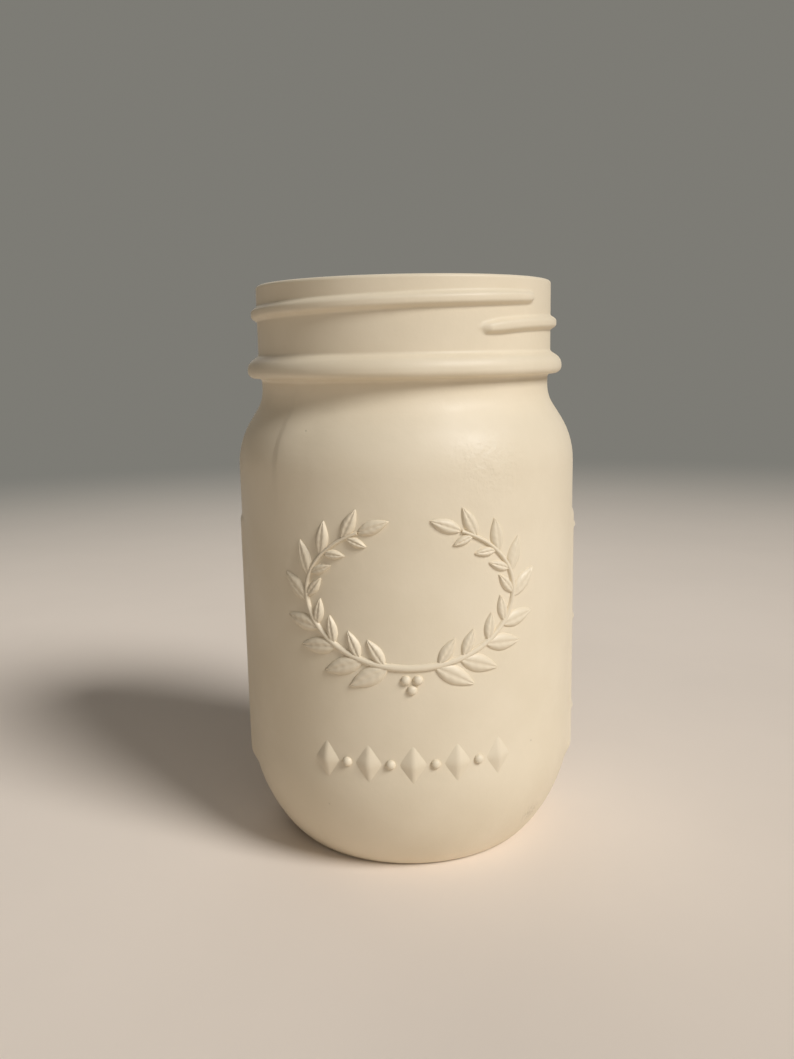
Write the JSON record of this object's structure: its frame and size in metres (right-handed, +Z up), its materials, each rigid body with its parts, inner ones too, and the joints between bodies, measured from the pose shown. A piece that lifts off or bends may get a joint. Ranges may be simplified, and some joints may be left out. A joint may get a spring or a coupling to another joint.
{
  "type": "mason jar lantern",
  "caption": "Open screw-neck glass jar in satin cream paint with a battery tealight standing on its floor, used as a small table lantern.",
  "frame": {"origin": "centre of the jar's foot ring, on the surface that it stands on", "axes": "+Z up along the jar's axis, -Y towards the viewer of the pictured front, +X to that viewer's right"},
  "size_m": [0.079, 0.079, 0.13],
  "materials": {
    "painted_glass": "opaque satin cream paint over soda-lime glass",
    "ivory_plastic": "wax-like moulded polypropylene",
    "flame_plastic": "translucent amber moulding",
    "white_plastic": "plain white moulding",
    "black_plastic": "ribbed black moulding",
    "clear_epoxy": "clear warm-white lens",
    "tinned_wire": "tinned wire",
    "cell_can": null,
    "contact_bronze": "spring bronze sheet"
  },
  "bodies": {
    "jar": {"glass_jar": "painted_glass"},
    "tealight": {"candle_shell": "ivory_plastic", "flame_tip": "flame_plastic", "led_lens": "clear_epoxy", "led_anode_leg": "tinned_wire", "led_cathode_leg": "tinned_wire", "base_plate": "white_plastic", "coin_cell": "cell_can", "negative_contact": "contact_bronze", "positive_contact": "contact_bronze"},
    "cover": {"battery_cover": "white_plastic"},
    "switch": {"switch_slider": "black_plastic", "switch_wiper": "contact_bronze"}
  },
  "joints": [
    {"name": "tealight_lift", "type": "slide", "parent": "jar", "child": "tealight", "axis": [0, 0, 1], "range_m": [0, 0.135]},
    {"name": "cover_twist", "type": "hinge", "parent": "tealight", "child": "cover", "pos_m": [0, 0, 0.0067], "axis": [0, 0, 1], "range_deg": [0, 45]},
    {"name": "switch_slide", "type": "slide", "parent": "tealight", "child": "switch", "axis": [0, 1, 0], "range_m": [0, 0.003]}
  ]
}
